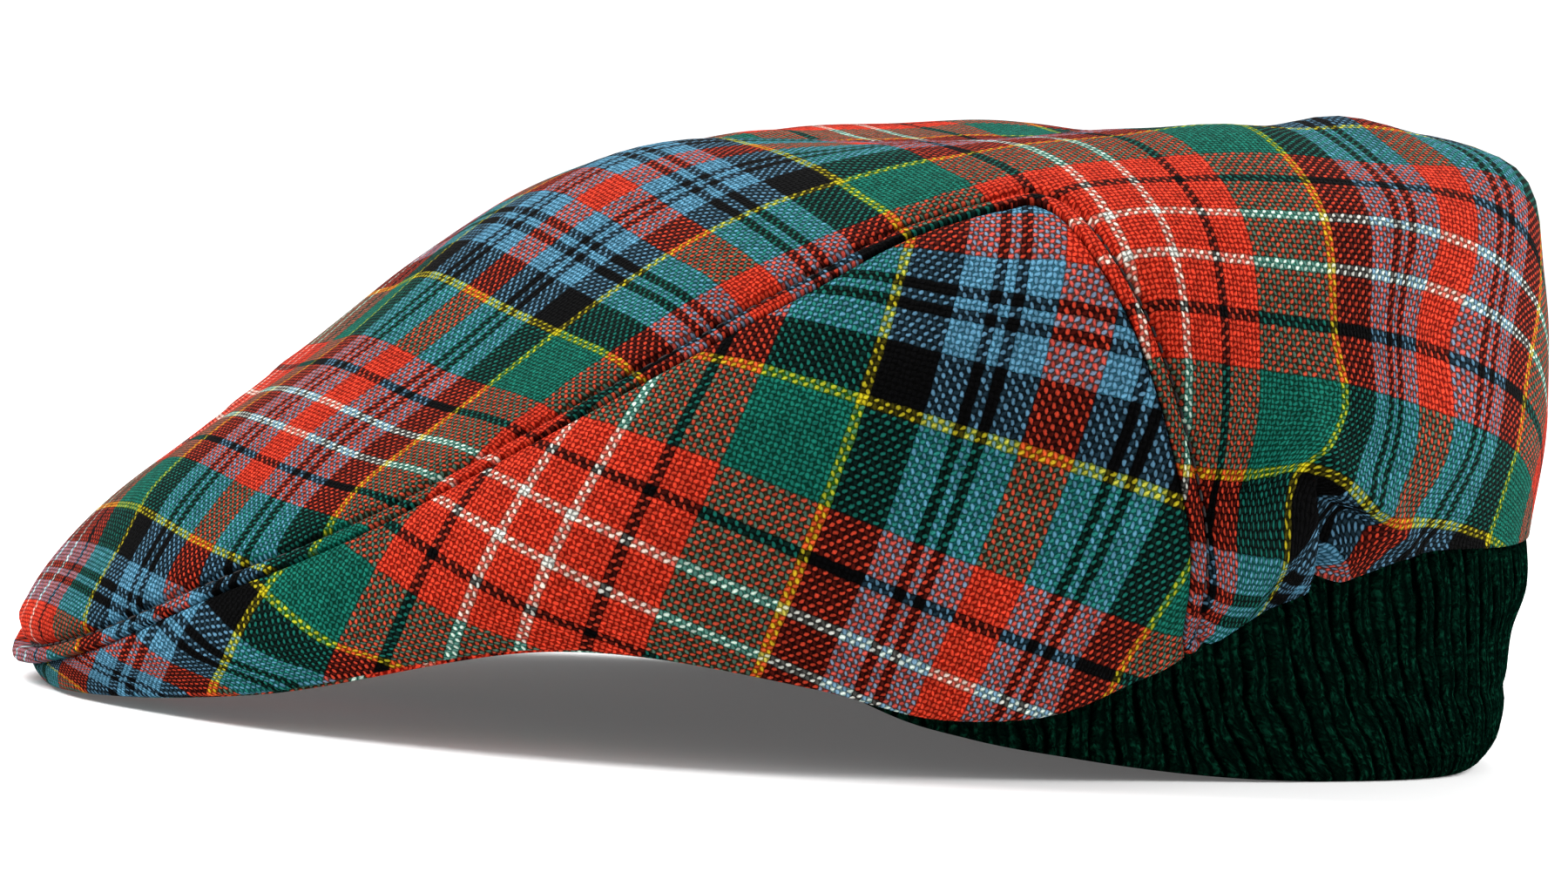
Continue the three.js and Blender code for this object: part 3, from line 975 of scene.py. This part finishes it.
@dataclass
class SidePanel:
    """The wedge of cloth between the top panel's seam and the rim, on one side."""

    crown: Crown
    seam: PanelSeam
    cloth: Tartan
    side: Side
    slot: str = "tartan_side"
    end: float = 98.7
    gap: float = 0.15
    overlap: float = 1.6
    flat_size: tuple[float, float] = (0.21, 0.105)
    flat_area: float = 0.0105
    step: float = 1.0
    rows: int = 84
    even: float = 0.35
    mark: float = 0.2

    @property
    def name(self) -> str:
        """Name of the panel's piece."""
        return f"tartan_side_{self.side.name.lower()}"

    @property
    def node(self) -> str:
        """Name of the node that the piece stands for."""
        return f"side_panel_{self.side.name.lower()}"

    def columns(self) -> Array:
        """Directions of the columns from the front to the back end, at even steps along the seam."""
        deg = np.linspace(0.06, self.end, 6000) * self.side.value
        run = run_along(self.crown.at(deg, self.seam.up(deg)[:, None])[:, 0])
        return np.interp(np.linspace(0, run[-1], int(run[-1] / self.step)), run, deg)

    def threads(self, along: Array, high: Array, hem: Array) -> Array:
        """Thread counts by run along the panel, height and height over the rim.

        The cloth is cut on the cross, so both counts climb, and its lower edge is pulled forwards in front.
        """
        s, t = along / 100, high / 100
        steep = -15 + 108 * s - 14.6 * t - 19.7 * s * t + 17.7 * t ** 2
        shallow = -34 + 85.4 * s + 137.5 * t - 15 * s ** 2 - 25.6 * s * t - 5.8 * t ** 2
        shallow = shallow - 24 * np.exp(-s / 0.45) * bell(hem / 4.5)
        return np.stack(np.broadcast_arrays(steep, shallow), -1)

    def build(self) -> bpy.types.Object:
        """Sew the panel: columns run up the outside from rim to seam and down the inside, in closed loops.

        Returns:
            The panel's object.
        """
        deg = self.columns()
        share = spaced(self.rows, self.even)
        length = self.crown.length(deg)
        top = self.seam.up(deg) + (self.overlap * self.seam.lip(deg)[:, 0] - self.gap) / length
        up = top[:, None] * share
        points, normal = self.crown.skin(deg, up)
        away, _ = self.seam.distance(points)
        hem = up * length[:, None]
        back = self.seam.setback * self.seam.lip(deg) * (1 - 0.85 * share)
        edge = round_edge(np.minimum(away - self.gap, hem), 0.6)
        roll = 0.5 * bell((hem - 2.2) / 2.0) + 0.25 * np.sin(np.radians(deg) * 23)[:, None] * bell(hem / 5)
        draw = self.seam.side_relief(away)
        line = self.crown.at(deg, np.full((len(deg), 1), self.mark))[:, 0]
        front = self.crown.at(np.zeros(1), np.full((1, 1), self.mark))[0, 0]
        along = run_along(line) + np.linalg.norm(line[0] - front)
        high = run_along(points, 1) + self.crown.rim(deg)[1][:, None]
        flat = np.stack(np.broadcast_arrays(along[:, None], high), -1)
        calm = ease(np.minimum(away, hem + 3), 3, 14)
        outer = draw + roll + hand_waves(flat + 40) * calm - edge
        inner = draw - self.crown.cloth + edge
        counts = self.threads(along[:, None], high, hem)
        points = points + polar(deg[:, None] + 180, back, 0.0, 0.0)
        outside = points + normal * outer[..., None]
        inside = points + normal * inner[..., None]
        loop = np.concatenate([outside, inside[:, ::-1]], 1)
        uv = np.concatenate([counts, counts[:, ::-1]], 1)
        if self.side is Side.RIGHT:
            loop, uv = loop[::-1], uv[::-1]
        return looped_piece(self.name, loop, uv, self.cloth.uv_map)


@dataclass
class SeamStitches:
    """The row of stitches that holds the seam's strip down."""

    crown: Crown
    seam: PanelSeam
    name: str = "seam_stitches"
    pitch: float = 2.9
    length: float = 2.1
    radius: float = 0.26
    depth: float = -0.95
    rings: int = 7
    corners: int = 8

    def build(self) -> bpy.types.Object:
        """Make the stitches: each is a short thread with round ends, laid along the groove beside the seam.

        A point runs round a stitch by two angles: its half length times the cosine of the first along the
        seam, and a circle that shrinks to the ends with the root of the sine.

        Returns:
            The stitches' object.
        """
        deg = np.linspace(3 - self.seam.foot, self.seam.foot - 3, 8000)
        line = self.crown.at(deg, self.seam.up(deg)[:, None])[:, 0]
        run = run_along(line)
        at = np.interp(np.arange(self.pitch, run[-1] - self.pitch, self.pitch), run, deg)
        up = self.seam.up(at)
        middle, normal = self.crown.skin(at, up[:, None])
        middle, normal = middle[:, 0], normal[:, 0]
        along = np.gradient(middle, axis=0)
        along /= np.linalg.norm(along, axis=1, keepdims=True)
        inward = np.cross(normal, along)
        lift = self.depth - 0.6 * self.seam.lip(at)
        place = middle + inward * self.seam.groove + normal * lift
        a = np.linspace(0, np.pi, self.rings)[None, :, None]
        b = np.linspace(0, 2 * np.pi, self.corners, endpoint=False)[None, None, :]
        long = (self.length / 2 * np.cos(a))[..., None] * along[:, None, None]
        wide = self.radius * np.sqrt(np.sin(a) + 1e-6)
        flat = (wide * np.cos(b))[..., None] * inward[:, None, None]
        tall = (wide * np.sin(b))[..., None] * normal[:, None, None]
        row = place[:, None, None] + long + flat + tall
        grid = grid_faces(self.rings, self.corners, loop=True)
        start = (np.arange(len(row)) * self.rings * self.corners)[:, None, None]
        faces = (grid[None] + start).reshape(-1, 4)
        return mesh_object(self.name, row.reshape(-1, 3), faces)


@dataclass
class Peak:
    """The stiff peak inside the front, covered in the same cloth."""

    crown: Crown
    seam: PanelSeam
    cloth: Tartan
    name: str = "covered_peak"
    node: str = "peak"
    slot: str = "peak_cloth"
    inset: float = 2.65
    below: float = 0.6
    thick: float = 2.5
    camber: float = 2.0
    # direction, width inwards, rise of the inner edge
    sections: tuple[tuple[float, float, float], ...] = (
        (0, 62, 12), (20, 54, 11), (36, 37, 7), (47, 20, 3.5), (56, 6, 1),
    )
    column_count: int = 221
    rows: int = 40
    even: float = 0.4

    def build(self) -> bpy.types.Object:
        """Make the crescent: a section with a rounded edge, carried round the front inside the rim.

        Returns:
            The peak's object.
        """
        end = self.sections[-1][0]
        deg = np.linspace(-end, end, self.column_count)
        side = np.abs(deg)
        rim_r, rim_z = self.crown.rim(deg)
        out_r = rim_r - self.inset - self.seam.setback * self.seam.lip(deg)[:, 0]
        out_z = rim_z - self.below
        width = table_at(self.sections, 1, side)[:, None]
        rise = table_at(self.sections, 2, side)[:, None]
        t = spaced(self.rows, self.even)
        z = out_z[:, None] + rise * (1 - t) + self.camber * np.sin(np.pi * t) * width / self.sections[0][1]
        r = out_r[:, None] - width * (1 - t)
        edge = np.minimum(width * t, width * (1 - t))
        turn = round_edge(edge, min(self.thick / 2 - 0.05, 1.2))
        upper = polar(deg[:, None], r, z + self.thick - turn, self.crown.axis_y)
        lower = polar(deg[:, None], r, z + turn, self.crown.axis_y)
        loop = np.concatenate([upper, lower[:, ::-1]], 1)[::-1]
        uv = np.stack([loop[..., 0] * 1.02 - 15, loop[..., 1] * 1.02 + 20], -1)
        return looped_piece(self.name, loop, uv, self.cloth.uv_map)


@dataclass
class KnitBand:
    """The ribbed knit band inside the rim, from temple to temple round the back."""

    crown: Crown
    knit: RibKnit
    name: str = "knit_band_ribs"
    node: str = "knit_band"
    slot: str = "rib_knit"
    thick: float = 3.0
    tuck: float = 8.0
    rib_pitch: float = 4.6
    rib_depth: float = 1.0
    course: float = 1.5
    lean: float = 0.12
    lean_growth: float = 0.007
    crease: float = 15.0
    flat_size: tuple[float, float] = (0.43, 0.05)
    flat_area: float = 0.0195
    # direction, height of the lower edge
    hem: tuple[tuple[float, float], ...] = (
        (60, 15.6), (63, 13), (67, 10), (74, 7), (86, 4), (98, 1.8), (110, 0.5), (120, 0), (180, 0),
    )
    side_inset: float = 2.6
    # depth below the rim, how far the face stands inside it at the back
    profile: tuple[tuple[float, float], ...] = (
        (-10, 2.6), (0, 0.4), (9, -0.4), (17, 1.6), (24, 1.9), (33, 2.1), (37, 3.0), (40, 5), (44, 9),
    )
    column_count: int = 1600
    outer_rows: int = 36
    inner_rows: int = 12

    def face(self, deg: Array, z: Array) -> Array:
        """Distance of the face from the axis at each height: plain at the sides, shaped at the back."""
        rim_r, rim_z = self.crown.rim(deg)
        side = np.minimum(deg, 360 - deg)[:, None]
        back = table_at(self.profile, 1, np.clip(rim_z[:, None] - z, -10, 44))
        return rim_r[:, None] - self.side_inset - (back - self.side_inset) * ease(side, 122, 156)

    def rib(self, phase: Array) -> Array:
        """Height of the ribs by rib count: two round wales to a rib, a deeper groove between ribs."""
        p = phase % 1.0
        wales = np.sqrt(np.abs(np.sin(2 * np.pi * p)) + 1e-9)
        return 0.3 * wales + 0.7 * np.sqrt(np.sin(np.pi * p) + 1e-9)

    def build(self) -> bpy.types.Object:
        """Knit the band: a section down the face, round the hem and up the inside, carried along the rim.

        Returns:
            The band's object.
        """
        start = self.hem[0][0]
        deg = np.linspace(start, 360 - start, self.column_count)
        side = np.minimum(deg, 360 - deg)
        low = np.maximum(table_at(self.hem, 1, side), 0)[:, None]
        rim_r, rim_z = self.crown.rim(deg)
        line = polar(deg, rim_r - self.thick, np.zeros_like(deg), self.crown.axis_y)
        run, rim_z = run_along(line)[:, None], rim_z[:, None]
        top = rim_z + self.tuck
        half = self.thick / 2
        down = np.linspace(0, 1, self.outer_rows)
        z_out = top + (low + half - top) * down
        turn = np.linspace(0, np.pi, 9)[None, 1:-1]
        z_hem = low + half - half * np.sin(turn)
        z_in = (low + half) + (top - low - half) * np.linspace(0, 1, self.inner_rows)
        z = np.concatenate([z_out, z_hem, z_in], 1)
        face = self.face(deg, z)
        turned = np.broadcast_to(np.cos(turn), z_hem.shape)
        depth = np.concatenate([0 * z_out, half * (1 - turned), np.full_like(z_in, self.thick)], 1)
        away = np.sin(np.radians(side - start) * 180 / (180 - start))[:, None]
        slant = self.lean * (rim_z - z) + self.lean_growth * np.clip(rim_z - z, 0, None) ** 2
        slant = slant * np.sign(180 - deg)[:, None] * np.clip(3 * away, 0, 1)
        wander = 0.4 * np.sin(z / 5.1 + run / 7.3) + 0.3 * np.sin(z / 2.7 - run / 3.9)
        wander = wander + 0.5 * np.sin(run / 11)
        phase = (run - slant + wander) / self.rib_pitch
        rib = self.rib(phase)
        outward = np.concatenate([np.ones_like(z_out), turned, np.full_like(z_in, -0.5)], 1)
        fold = -0.5 * bell((z - self.crease) / 1.6) * (outward > 0)
        r = face - depth - self.rib_depth * (1 - rib) * outward + fold
        loop = polar(deg[:, None], r, np.maximum(z, 0.0), self.crown.axis_y)
        uv = np.stack([2 * phase, z / self.course], -1)
        loop, uv = loop[:, ::-1], uv[:, ::-1]
        columns, tall = loop.shape[:2]
        cap = np.arange(tall)
        caps = np.stack([cap, cap[::-1] + (columns - 1) * tall])
        return mesh_object(self.name, loop.reshape(-1, 3), grid_faces(columns, tall, loop=True), caps,
                           uv.reshape(-1, 2), self.knit.uv_map)


@dataclass(frozen=True)
class Studio:
    """Camera and soft lights."""

    azimuth: float = 68.0
    elevation: float = 3.5
    roll: float = 4.4
    distance: float = 1287.5
    lens: float = 164.3
    target: tuple[float, float, float] = (0.0, 0.95, 48.96)
    shift: tuple[float, float] = (-1.144, -0.486)
    world: float = 0.58
    # azimuth, elevation, distance (m), size (m), power (W)
    lights: tuple[tuple[float, float, float, float, float], ...] = (
        (-20, 46, 1.5, 1.0, 30), (172, 32, 1.6, 1.2, 32), (250, 55, 1.6, 1.2, 4),
    )
    aim_height: float = 0.05
    # azimuth, distance (m), height (m), size (m) and power (W) of the panel over the floor behind
    far_panel: tuple[float, float, float, float, float] = (248, 3.0, 2.2, 3.4, 48)

    @staticmethod
    def axes(azimuth: float, elevation: float) -> tuple[Vector, Vector, Vector]:
        """Right, up and back axes of a view from an azimuth and elevation in degrees."""
        a, e = math.radians(azimuth), math.radians(elevation)
        back = Vector((math.sin(a) * math.cos(e), -math.cos(a) * math.cos(e), math.sin(e)))
        right = Vector((math.cos(a), math.sin(a), 0))
        return right, back.cross(right), back

    def place(self, thing: bpy.types.Object, right: Vector, up: Vector, back: Vector, at: Vector) -> None:
        """Put a camera or light at a point, looking against its back axis."""
        turn = Matrix((right, up, back)).transposed().to_4x4()
        thing.matrix_world = Matrix.Translation(at) @ turn
        bpy.context.scene.collection.objects.link(thing)

    def softbox(self, name: str, size: float, power: float, axes: tuple[Vector, ...], at: Vector) -> None:
        """Put up a round soft light.

        Args:
            name: The light's name.
            size: Its diameter in metres.
            power: Its power in watts.
            axes: Its right, up and back axes.
            at: Its place in metres.
        """
        light = bpy.data.lights.new(name, "AREA")
        light.shape = "DISK"
        light.size = size
        light.energy = power
        self.place(bpy.data.objects.new(name, light), *axes, at)

    def build(self) -> None:
        """Set up the camera, the lights and the pale surroundings."""
        scene = bpy.context.scene
        right, up, back = self.axes(self.azimuth, self.elevation)
        tilt = math.radians(self.roll)
        across = right * math.cos(tilt) + up * math.sin(tilt)
        rise = up * math.cos(tilt) - right * math.sin(tilt)
        aim = Vector(self.target) + across * self.shift[0] + rise * self.shift[1]
        camera = bpy.data.cameras.new("camera")
        camera.lens = self.lens
        camera.sensor_width = 36.0
        camera.clip_end = 100.0
        view = bpy.data.objects.new("camera", camera)
        self.place(view, across, rise, back, (aim + back * self.distance) * MM)
        scene.camera = view
        for k, (azimuth, elevation, distance, size, power) in enumerate(self.lights):
            axes = self.axes(azimuth, elevation)
            at = axes[2] * distance + Vector((0, 0, self.aim_height))
            self.softbox(f"softbox_{k}", size, power, axes, at)
        azimuth, distance, height, size, power = self.far_panel
        over = self.axes(azimuth, 0)[2] * distance + Vector((0, 0, height))
        self.softbox("far_panel", size, power, self.axes(0, 90), over)
        world = bpy.data.worlds.new("studio")
        world.use_nodes = True
        sky = world.node_tree.nodes["Background"]
        sky.inputs["Color"].default_value = (1, 1, 1, 1)
        sky.inputs["Strength"].default_value = self.world
        scene.world = world
        scene.view_settings.view_transform = "Standard"


def dress(piece: bpy.types.Object, material: bpy.types.Material, slot: str, *nodes: str) -> bpy.types.Object:
    """Give a piece its finish, let it ride on the cap and stand for its nodes.

    Args:
        piece: The finished piece.
        material: Its finish.
        slot: Not used.
        nodes: Nodes that it stands for.

    Returns:
        The piece.
    """
    piece.data.materials.append(material)
    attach(piece, "root")
    if nodes:
        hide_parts(*nodes)
    LOG.info("%s: %d points, %d faces", piece.name, len(piece.data.vertices), len(piece.data.polygons))
    return piece


def main() -> None:
    """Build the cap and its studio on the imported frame."""
    logging.basicConfig(level=logging.INFO, format="%(message)s")
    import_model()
    crown = Crown()
    seam = PanelSeam(crown)
    tartan = Tartan()
    weave = tartan.material()
    knit = RibKnit()
    thread = SewingThread()
    top = TopPanel(crown, seam, Pleat(), tartan)
    top_piece = dress(top.build(), weave, top.slot, top.node)
    stitches = SeamStitches(crown, seam)
    stitch_piece = dress(stitches.build(), thread.material(), top.slot)
    peak = Peak(crown, seam, tartan)
    peak_piece = dress(peak.build(), weave, peak.slot, peak.node)
    band = KnitBand(crown, knit)
    band_piece = dress(band.build(), knit.material(), band.slot, band.node)
    peak_piece.name
    band_piece.name
    top_piece.name
    for side in Side:
        panel = SidePanel(crown, seam, tartan, side)
        piece = dress(panel.build(), weave, panel.slot, panel.node)
        top_piece.name
    StudioFloor().build()
    Studio().build()


if __name__ == "__main__":
    main()
